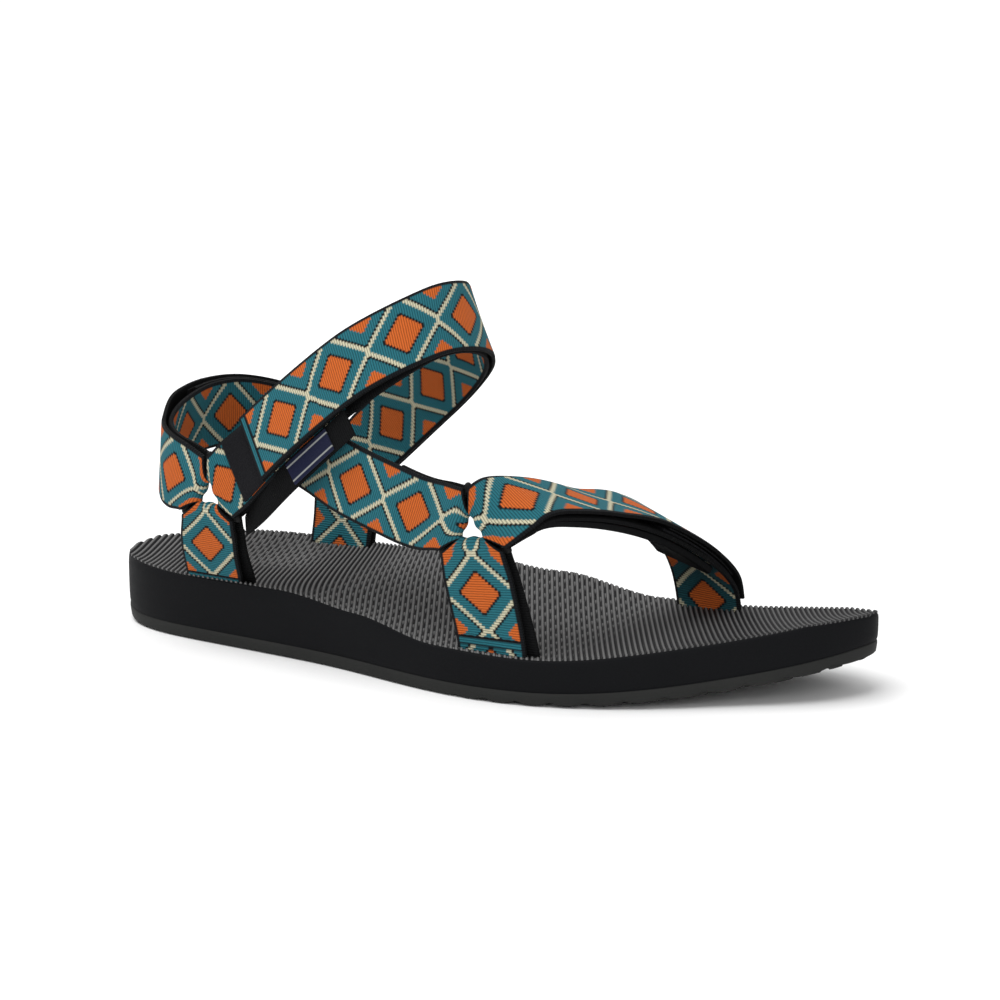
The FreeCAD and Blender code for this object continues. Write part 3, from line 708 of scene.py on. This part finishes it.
# %% Laying webbing on a route
WEB_W, WEB_T, TAPE_W, TAPE_T, LINING_T = 24.0, 1.6, 21.5, 0.8, 2.8
BAR_LIFT = 1.1 + 0.1 + WEB_T / 2
PLY, LOOSE = WEB_T + 0.1, WEB_T + 0.8
TAPE_ON_WEB = WEB_T / 2 + 0.1 + TAPE_T / 2
FOLD_W, TAPER = 22.4, 9.0               # width over a ring bar, and the stretch that narrows to it
SLACK, MITRE = 1.9, 2 * math.sqrt(3)     # how far a fold hangs into the ring, and how its corners meet
PICK = 0.45                              # one woven row to the next
PLEAT_WAVE = 0.25                        # ripple of gathered webbing over a ring bar


def stack(tail):
    loop = tail + TAPE_ON_WEB
    hook = loop + TAPE_T + 0.35
    return loop, hook, hook + TAPE_T / 2 + 0.1 + WEB_T / 2


def leg(path, knots, width=WEB_W, folds=(), step=1.0, drift=0.0):
    """One pass over the route. It may drift sideways by the given distance on its way."""
    points, sides, widths = [], [], []
    for (s0, l0), (s1, l1) in zip(knots, knots[1:]):
        count = max(2, int(math.ceil(abs(s1 - s0) / step)))
        t = np.linspace(0, 1, count + 1)[(1 if points else 0):]
        s = s0 + (s1 - s0) * t
        lift = (l0 + (l1 - l0) * smooth(t))[:, None]
        points.append(at(path, s, "p") + at(path, s, "out") * lift)
        sides.append(at(path, s, "side"))
        reach = np.min([np.abs(s - f) for f in folds] + [np.full(len(s), TAPER)], axis=0)
        widths.append(np.minimum(width, FOLD_W + (WEB_W - FOLD_W) * smooth(reach / TAPER)))
    points, sides = np.concatenate(points), np.concatenate(sides)
    points = points + sides * (drift * smooth(np.linspace(0, 1, len(points))))[:, None]
    return points, sides, np.concatenate(widths)


def turn(path, s, lift, sense):
    p, along, side, out = (at(path, s, k) for k in ("p", "along", "side", "out"))
    a = np.radians(np.arange(20, 161, 20))[:, None]
    depth = SLACK * abs(lift) * np.sin(a)
    points = p + out * (lift * np.cos(a)) + along * (sense * depth)
    return points, np.repeat(side[None], len(a), 0), FOLD_W - MITRE * depth[:, 0]


def laid_line(passes, pick):
    """Joins passes, and divides the line into rows one pick apart."""
    p, side, width = (np.concatenate([q[k] for q in passes]) for k in range(3))
    s = np.concatenate([[0], np.cumsum(np.linalg.norm(np.diff(p, axis=0), axis=1))])
    rows = np.linspace(0, s[-1], max(4, int(s[-1] / pick)) + 1)
    def spread(values):
        return np.stack([np.interp(rows, s, values[:, k]) for k in range(3)], -1)
    p, side = spread(p), unit(spread(side))
    for _ in range(3):
        p[1:-1] = 0.25 * p[:-2] + 0.5 * p[1:-1] + 0.25 * p[2:]
    return rows, p, side, np.interp(rows, s, width)


pieces_made = {}


def webbing(name, passes, face, pick=PICK, materials=None, wave=PLEAT_WAVE):
    """Flat webbing laid on its passes. face is 1 or -1: which way its right side looks.

    wave is how high it ripples where it is gathered narrower than its full width.
    """
    rows, centre, side, width = laid_line(passes, pick)
    columns = max(4, int(round(width.max() / pick)))
    deselect()
    bpy.ops.mesh.primitive_grid_add(x_subdivisions=columns, y_subdivisions=len(rows) - 1, size=0.1)
    piece = named(name)
    share = np.linspace(-0.5, 0.5, columns + 1)
    normal = unit(np.cross(side, np.gradient(centre, axis=0))) * face
    across = share[None, :, None] * (side * face * width[:, None])[:, None, :]
    gather = np.clip((WEB_W - width) / (WEB_W / 2), 0, 1)
    pleat = (wave * gather[:, None] * np.cos(share * 4 * math.pi)[None])[:, :, None] * normal[:, None, :]
    place_vertices(piece, (centre[:, None, :] + across + pleat).reshape(-1, 3) * MM)
    flat_across = np.tile(share * WEB_W * face, len(rows))
    flat_along = np.repeat(rows, columns + 1)
    uv = piece.data.uv_layers[0]
    uv.name = "cloth"
    corner = np.empty(len(piece.data.loops), np.int32)
    piece.data.loops.foreach_get("vertex_index", corner)
    uv.data.foreach_set("uv", np.column_stack([flat_across[corner], flat_along[corner]]).astype(np.float32).ravel())
    near = np.minimum(share + 0.5, 0.5 - share) * width.max()
    rounding = np.tile(np.clip(0.45 + 0.6 * near, 0, 1), len(rows))
    group = piece.vertex_groups.new(name="thickness")
    for value in np.unique(rounding):
        group.add(np.flatnonzero(rounding == value).tolist(), float(value), "REPLACE")
    pieces_made[name] = (flat_across, flat_along, float(rows[-1]))
    for material in (materials or (webbing_face, webbing_back)):
        piece.data.materials.append(material)
    return piece


def finish_webbing(piece, thickness=WEB_T, back=1):
    apply_modifier(piece, "SOLIDIFY", thickness=thickness * MM, offset=0.0, vertex_group="thickness",
                   thickness_vertex_group=0.35, use_rim=True, material_offset=back, material_offset_rim=back)
    deselect()
    piece.select_set(True)
    bpy.ops.object.shade_smooth_by_angle(angle=math.radians(50))
    return piece


# %% [markdown]
# ## The woven pattern
# The right side is woven in colours on a teal ground. The pattern is a plain diamond
# lattice of our own: the distance from the nearest diamond's middle, counted in woven
# steps, is cut into bands of colour. It could be an image or a node pattern, but a loom
# changes colour only from thread to thread, so the colour is stored on the threads'
# crossings.

# %% Pattern
# TEAL_IN_SHADE is the teal ground darkened as painted shade, for the toe strap's base on the far side.
TEAL, TEAL_IN_SHADE, CREAM = (0.022, 0.16, 0.2), (0.016, 0.09, 0.11), (0.66, 0.62, 0.44)
ORANGE, BLACK, NAVY = (0.66, 0.14, 0.025), (0.006, 0.007, 0.009), (0.004, 0.006, 0.03)
REPEAT, STAIR, SELVEDGE = 25.0, 0.9, 1.15
HEM_HALF, HEM_LINE = 1.2, 0.35
LATTICE = ((99, ORANGE), (21, None), (16, BLACK), (15, CREAM), (13, None), (8, BLACK), (7, ORANGE))


def tint(colours, where, colour):
    colours[where] = colour


def weave_pattern(piece, start, ground=TEAL, hem_at=None):
    """Stores the yarn colour at each crossing. A diamond's middle is at start."""
    across, along, _ = pieces_made[piece.name]
    colours = np.tile(np.array(ground, float), (len(across), 1))
    run = np.abs((along - start + REPEAT / 2) % REPEAT - REPEAT / 2)
    steps = np.floor(np.abs(across) / STAIR) + np.floor(run / STAIR)
    for below, colour in LATTICE:
        tint(colours, steps < below, colour or ground)
    if hem_at is not None:
        from_hem = np.abs(along - hem_at)
        tint(colours, from_hem < HEM_HALF, ground)
        tint(colours, np.abs(from_hem - HEM_HALF) < HEM_LINE, BLACK)
    tint(colours, np.abs(across) > WEB_W / 2 - SELVEDGE, BLACK)
    store(piece, "yarn", "FLOAT_COLOR", np.column_stack([colours, np.ones(len(across))]))


print("pattern repeat in mm:", REPEAT)

# %% [markdown]
# ## The ankle strap
# The base runs from the outer rear ring over the instep to the inner rear ring. Its
# outer tail carries the loop tape. The flap comes back from the inner ring over the
# base, and its end presses on the tape. The flap is one cloth that rises at the peel
# line onto the tapes; no body carries it.

# %% Ankle strap
TAIL_END, TAPE_FROM, TAPE_TO, TIP_END, PEEL = 58.0, 8.0, 56.0, 20.0, 62.0
SETTLE, HINGE_GAP = 14.0, 0.5
LOOP, HOOK, TIP = stack(PLY)
end = ANKLE["end"]
ankle_base = webbing("ankle_strap_base", [
    leg(ANKLE, [(TAIL_END, PLY), (SETTLE, PLY), (0, BAR_LIFT)], folds=(0,)),
    turn(ANKLE, 0, BAR_LIFT, -1),
    leg(ANKLE, [(0, -BAR_LIFT), (SETTLE, 0), (end - SETTLE, 0), (end, -BAR_LIFT)], folds=(0, end))], -1)
weave_pattern(ankle_base, 6)
finish_webbing(ankle_base)
ankle_flap = webbing("ankle_strap_flap", [
    turn(ANKLE, end, -BAR_LIFT, 1),
    leg(ANKLE, [(end, BAR_LIFT), (end - SETTLE - 4, LOOSE), (PEEL + 30, LOOSE), (PEEL, TIP), (TIP_END, TIP)],
        folds=(end,))], -1)
flap_length = pieces_made["ankle_strap_flap"][2]
print("ankle flap length in mm:", round(flap_length, 1))
weave_pattern(ankle_flap, flap_length - 16, hem_at=flap_length - 1.4)
finish_webbing(ankle_flap)

# %% [markdown]
# ## Heel strap, toe strap and side strap
# They are made in the same way. The heel strap closes at the inner ring, the toe strap
# on top of the toes, and the side strap is sewn at its rear end and folds round the
# front ring.

# %% Heel strap
end = HEEL["end"]
heel_base = webbing("heel_strap_base", [
    leg(HEEL, [(end - TAIL_END, PLY), (end - SETTLE, PLY), (end, BAR_LIFT)], folds=(end,)),
    turn(HEEL, end, BAR_LIFT, 1),
    leg(HEEL, [(end, -BAR_LIFT), (end - SETTLE, 0), (SETTLE, 0), (0, -BAR_LIFT)], folds=(0, end))], 1)
weave_pattern(heel_base, 12)
finish_webbing(heel_base)
heel_flap = webbing("heel_strap_flap", [
    turn(HEEL, 0, -BAR_LIFT, -1),
    leg(HEEL, [(0, BAR_LIFT), (SETTLE + 4, LOOSE), (end - PEEL - 22, LOOSE), (end - PEEL, TIP),
               (end - TIP_END, TIP)],
        folds=(0,))], 1)
flap_length = pieces_made["heel_strap_flap"][2]
weave_pattern(heel_flap, flap_length - 16, hem_at=flap_length - 1.4)
finish_webbing(heel_flap)

# %% Toe strap
TOE_TIP_END, TOE_PEEL = 98.0, 60.0
TOE_LOOP, TOE_HOOK, TOE_TIP = stack(0)
end = TOE["end"]
toe_base = webbing("toe_strap_base", [
    leg(TOE, [(end, 0), (SETTLE, 0), (0, -BAR_LIFT)], folds=(0,))], 1)
# Painted shade: the toe strap's base is woven on the darker, shaded teal ground.
weave_pattern(toe_base, 12, TEAL_IN_SHADE)
finish_webbing(toe_base)
toe_flap = webbing("toe_strap_flap", [
    turn(TOE, 0, -BAR_LIFT, -1),
    leg(TOE, [(0, BAR_LIFT), (SETTLE + 4, LOOSE), (TOE_PEEL - 20, LOOSE), (TOE_PEEL, TOE_TIP),
              (TOE_TIP_END, TOE_TIP),
              (TOE_TIP_END + 9, TOE_TIP - 1)],
        folds=(0,))], 1)
flap_length = pieces_made["toe_strap_flap"][2]
weave_pattern(toe_flap, 20, hem_at=flap_length - 1.4)
finish_webbing(toe_flap)

# %% Side strap
end = SIDE["end"]
side_strap = webbing("side_strap_webbing", [
    leg(SIDE, [(0, 0), (end - SETTLE, 0), (end, BAR_LIFT)], folds=(end,)),
    turn(SIDE, end, BAR_LIFT, 1),
    leg(SIDE, [(end, -BAR_LIFT), (end - SETTLE, -PLY), (end - 26, -PLY)], folds=(end,))], 1)
weave_pattern(side_strap, 17)
finish_webbing(side_strap)

# %% Tabs that hold the rings to the sole
LEAF_LIFT, LEAF_STRAIGHT = 1.5, 10.0     # half the gap between leaves, and their straight end
HEM_AT = 9.8


def tab(name, path, drift=0.0):
    """Webbing doubled over a ring's lower bar, with both leaves going into the sole."""
    end = path["end"]
    piece = webbing(name, [
        leg(path, [(end, LEAF_LIFT), (end - LEAF_STRAIGHT, LEAF_LIFT), (0, BAR_LIFT)], folds=(0,)),
        turn(path, 0, BAR_LIFT, -1),
        leg(path, [(0, -BAR_LIFT), (end - LEAF_STRAIGHT, -LEAF_LIFT), (end, -LEAF_LIFT)],
            folds=(0,), drift=drift)], -1)
    return piece


rear_tab = tab("rear_tab_outer", REAR_TAB, drift=-3.5)
weave_pattern(rear_tab, 24, hem_at=HEM_AT)
medial_tab = tab("rear_tab_inner", MEDIAL_TAB)
weave_pattern(medial_tab, 18)
front_tab = tab("front_tab", FRONT_TAB, drift=-3.0)
weave_pattern(front_tab, 26, hem_at=HEM_AT)
for piece in (rear_tab, medial_tab, front_tab):
    finish_webbing(piece)
print("webbing pieces:", sorted(pieces_made))

# %% [markdown]
# ## Tapes, lining and label
# Loop tape is a thick felt, hook tape a stiff ribbon under each flap end. The toe strap
# has a smooth padded lining. The label is a dark strip sewn over the side strap, with a
# small woven patch that carries two plain straight lines.

# %% Tapes and lining
TAPE_PICK = 0.7                          # tapes are smoother, so their rows are further apart


def tape(name, path, knots, thickness, materials, width=TAPE_W):
    """A flat tape on the route, the same finish on both faces."""
    piece = webbing(name, [leg(path, knots, width=width)], 1, pick=TAPE_PICK, materials=materials, wave=0.0)
    return finish_webbing(piece, thickness, 0)


end = HEEL["end"]
ankle_loop = tape("ankle_loop_pile", ANKLE, [(TAPE_FROM, LOOP + 0.25), (SETTLE, LOOP), (TAPE_TO, LOOP)],
                  1.0, (loop_pile,))
heel_loop = tape("heel_loop_pile", HEEL, [(end - TAPE_TO, LOOP), (end - SETTLE, LOOP), (end - TAPE_FROM, LOOP + 0.25)],
                 1.0, (loop_pile,))
toe_loop = tape("toe_loop_pile", TOE, [(TOE_PEEL + 1, TOE_LOOP), (TOE_TIP_END + 1, TOE_LOOP)], 0.9, (loop_pile,))
ankle_hook = tape("ankle_hook_ribbon", ANKLE, [(TIP_END + 1, HOOK), (PEEL - 3, HOOK)], 0.8, (hook_tape_face,))
heel_hook = tape("heel_hook_ribbon", HEEL, [(end - PEEL + 3, HOOK), (end - TIP_END - 1, HOOK)],
                 0.8, (hook_tape_face,))
toe_hook = tape("toe_hook_ribbon", TOE, [(TOE_PEEL + 3, TOE_HOOK), (TOE_TIP_END - 1, TOE_HOOK)],
                0.8, (hook_tape_face,))
lining_lift = -(WEB_T + LINING_T) / 2 - 0.1
toe_lining = tape("toe_strap_lining", TOE, [(9, lining_lift), (88, lining_lift)], LINING_T, (lining_cloth,))
print("tapes and lining:", ankle_loop.name, heel_loop.name, toe_loop.name, toe_lining.name)

# %% Label
LABEL_W, LINE_AT, LINE_HALF, LINE_GREY = 7.6, 2.4, 0.35, (0.3, 0.31, 0.3)
label_strip = tape("label_backing", LABEL, [(0, 0), (LABEL["end"], 0)], 1.0, (webbing_back,), width=9.0)
label = webbing("woven_label_patch", [leg(LABEL, [(LABEL["end"] - 29, 0.85), (LABEL["end"] - 9, 0.85)], width=LABEL_W)],
                1, pick=0.25, materials=(label_cloth,), wave=0.0)
a, _, length = pieces_made["woven_label_patch"]
a = a * LABEL_W / WEB_W
yarns = np.tile(np.array(NAVY, float), (len(a), 1))
tint(yarns, np.abs(np.abs(a) - LINE_AT) < LINE_HALF, LINE_GREY)
store(label, "yarn", "FLOAT_COLOR", np.column_stack([yarns, np.ones(len(a))]))
finish_webbing(label, 0.5, 0)
print("label length in mm:", round(length, 1))

# %% [markdown]
# ## Stitching
# A stitch is a short, fat loop of thread that sinks in at both ends. One is shaped from a
# small sphere and then repeated along each seam.

# %% Stitches
STITCH_LONG, STITCH_THICK = 2.3, 0.42


def make_stitch():
    deselect()
    bpy.ops.mesh.primitive_uv_sphere_add(segments=8, ring_count=5, radius=0.5)
    piece = named("stitch_pattern")
    bpy.ops.object.mode_set(mode="EDIT")
    bpy.ops.mesh.select_all(action="SELECT")
    bpy.ops.transform.resize(value=(STITCH_LONG, STITCH_THICK, STITCH_THICK))
    bpy.ops.object.mode_set(mode="OBJECT")
    points = vertex_points(piece)
    faces = [tuple(p.vertices) for p in piece.data.polygons]
    bpy.data.objects.remove(piece)
    return points, faces


stitch_points, stitch_faces = make_stitch()


def seam(name, starts, ends, normals, material, body="sandal"):
    """Stitches from each start to each end, in millimetres, joined as one piece."""
    points, faces = [], []
    for k, (a, b, n) in enumerate(zip(starts, ends, normals)):
        run = unit(b - a)
        side = unit(np.cross(n, run))
        size = np.linalg.norm(b - a) / STITCH_LONG
        local = stitch_points * (size, 1, 1)
        points.append((a + b) / 2 + local[:, :1] * run + local[:, 1:2] * side + local[:, 2:] * np.cross(run, side))
        faces += [tuple(i + k * len(local) for i in f) for f in stitch_faces]
    mesh = bpy.data.meshes.new(name)
    mesh.from_pydata((np.concatenate(points) * MM).tolist(), [], faces)
    mesh.shade_smooth()
    piece = bpy.data.objects.new(name, mesh)
    bpy.context.scene.collection.objects.link(piece)
    piece.data.materials.append(material)
    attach(piece, body)
    return piece


def cross_seam(name, path, s, lift, material, body="sandal", width=WEB_W - 3, pitch=2.6):
    """A row of stitches straight across webbing at distance s."""
    p, side, out = (at(path, s, k) for k in ("p", "side", "out"))
    count = int(width / pitch)
    centres = (np.arange(count) - (count - 1) / 2) * pitch
    starts = [p + out * lift + side * (c - 0.4 * pitch) for c in centres]
    ends = [p + out * lift + side * (c + 0.4 * pitch) for c in centres]
    return seam(name, starts, ends, [out] * count, material, body)


TOP = WEB_T / 2 + 0.12
seams = [
    cross_seam("ankle_tip_seam", ANKLE, TIP_END + 2.6, TIP + TOP, thread_dark, "ankle_tip"),
    cross_seam("heel_tip_seam", HEEL, HEEL["end"] - TIP_END - 2.6, TIP + TOP, thread_dark, "heel_tip"),
    cross_seam("toe_tip_seam", TOE, TOE_TIP_END + 6.4, TOE_TIP - 0.7 + TOP, thread_dark, "toe_tip"),
    cross_seam("rear_tab_seam", REAR_TAB, REAR_TAB["end"] - 11.5, 1.5 + TOP, thread_dark),
    cross_seam("front_tab_seam", FRONT_TAB, FRONT_TAB["end"] - 11.5, 1.5 + TOP, thread_dark)]
print("seams:", len(seams))

# %% [markdown]
# ## Onto the bodies
# Every piece says which CAD nodes it stands for and which body carries it. A flap is
# carried by no body: its transform is baked into its mesh.

# %% Riding and blending
def stands_for(piece, slot, body, *nodes):
    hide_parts(*nodes)
    if body:
        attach(piece, body)


stands_for(ankle_base, "patterned_webbing", "sandal", "ankle_base")
stands_for(heel_base, "patterned_webbing", "sandal", "heel_base")
stands_for(toe_base, "patterned_webbing", "sandal", "toe_base")
stands_for(side_strap, "patterned_webbing", "sandal", "side_strap")
stands_for(rear_tab, "patterned_webbing", "sandal", "anchor_rear_lateral")
stands_for(medial_tab, "patterned_webbing", "sandal", "anchor_rear_medial")
stands_for(front_tab, "patterned_webbing", "sandal", "anchor_front_lateral")
stands_for(ankle_flap, "patterned_webbing", None, "ankle_flap", "ankle_flap_end")
stands_for(heel_flap, "patterned_webbing", None, "heel_flap", "heel_flap_end")
stands_for(toe_flap, "patterned_webbing", None, "toe_flap", "toe_flap_end")
stands_for(ankle_loop, "loop_tape", "sandal", "ankle_loop_tape")
stands_for(heel_loop, "loop_tape", "sandal", "heel_loop_tape")
stands_for(toe_loop, "loop_tape", "sandal", "toe_loop_tape")
stands_for(ankle_hook, "hook_tape", "ankle_tip", "ankle_hook_tape")
stands_for(heel_hook, "hook_tape", "heel_tip", "heel_hook_tape")
stands_for(toe_hook, "hook_tape", "toe_tip", "toe_hook_tape")
stands_for(toe_lining, "lining", "sandal", "toe_lining")
stands_for(label_strip, "lining", "sandal", "label_strip")
stands_for(label, "woven_label", "sandal", "woven_label")


def peel_blend(piece):
    """Bakes a flap's transform into its mesh."""
    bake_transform(piece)


peel_blend(ankle_flap)
peel_blend(heel_flap)
peel_blend(toe_flap)

for node in ("ring_rear_lateral", "ring_rear_medial", "ring_front_lateral"):
    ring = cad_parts[node]
    ring.data.materials.clear()
    ring.data.materials.append(ring_coating)

# %% [markdown]
# ## Floor, light and camera
# A plain pale floor, one large soft light above, one from the camera's side and a weak
# one behind, so the black foam keeps its shape against the pale ground.

# %% Stage
def make_floor():
    deselect()
    bpy.ops.mesh.primitive_plane_add(size=80.0, location=(0, 0, -0.0002))
    floor = named("studio_floor")
    material, tree, shader = new_material("pale floor", 0.9, 0.0, 0.1)
    place = put(tree, "ShaderNodeTexCoord").outputs["Object"]
    cloudy = put(tree, "ShaderNodeTexNoise", [("Vector", place), ("Scale", 2.0)]).outputs[0]
    tree.links.new(mix_colour(tree, cloudy, (0.9, 0.9, 0.9, 1), (0.93, 0.93, 0.93, 1)), shader.inputs["Base Color"])
    floor.data.materials.append(material)
    return floor


def sun_light(name, towards, strength, degrees):
    deselect()
    bpy.ops.object.light_add(type="SUN", location=towards)
    light = bpy.context.object
    light.name = name
    light.data.energy = strength
    light.data.angle = math.radians(degrees)
    light.rotation_mode = "QUATERNION"
    light.rotation_quaternion = Vector(towards).to_track_quat("Z", "Y")


def area_light(name, place, aim, size, power):
    deselect()
    bpy.ops.object.light_add(type="AREA", location=place)
    light = bpy.context.object
    light.name = name
    light.data.shape = "DISK"
    light.data.size = size
    light.data.energy = power
    light.rotation_mode = "QUATERNION"
    light.rotation_quaternion = (Vector(aim) - Vector(place)).to_track_quat("-Z", "Y")


floor = make_floor()
sun_light("key_light", (-0.25, -0.3, 1.0), 2.1, 50)
area_light("front_light", (0.9, -1.2, 0.75), (0, 0, 0.05), 0.9, 4.0)
area_light("back_light", (-0.9, 0.9, 0.7), (0, 0, 0.05), 0.8, 4.0)
world = bpy.data.worlds.new("studio")
world.use_nodes = True
lit = world.node_tree.nodes["Background"]
lit.inputs["Strength"].default_value = 0.6
seen = put(world.node_tree, "ShaderNodeBackground", [("Strength", 1.0)])
for backdrop in (lit, seen):
    backdrop.inputs["Color"].default_value = (1, 1, 1, 1)
is_camera = put(world.node_tree, "ShaderNodeLightPath").outputs["Is Camera Ray"]
both = put(world.node_tree, "ShaderNodeMixShader", [(0, is_camera), (1, lit.outputs[0]), (2, seen.outputs[0])])
world.node_tree.links.new(both.outputs[0], world.node_tree.nodes["World Output"].inputs["Surface"])
bpy.context.scene.world = world
bpy.context.scene.view_settings.view_transform = "Standard"

bpy.ops.object.camera_add(location=(0.4128, -0.7227, 0.2210),
                          rotation=(math.radians(78.55), 0, math.radians(29.0)))
camera = bpy.context.object
camera.name = "studio_camera"
camera.data.sensor_width = 36.0
camera.data.lens = 93.6
camera.data.clip_start = 0.01
bpy.context.scene.camera = camera
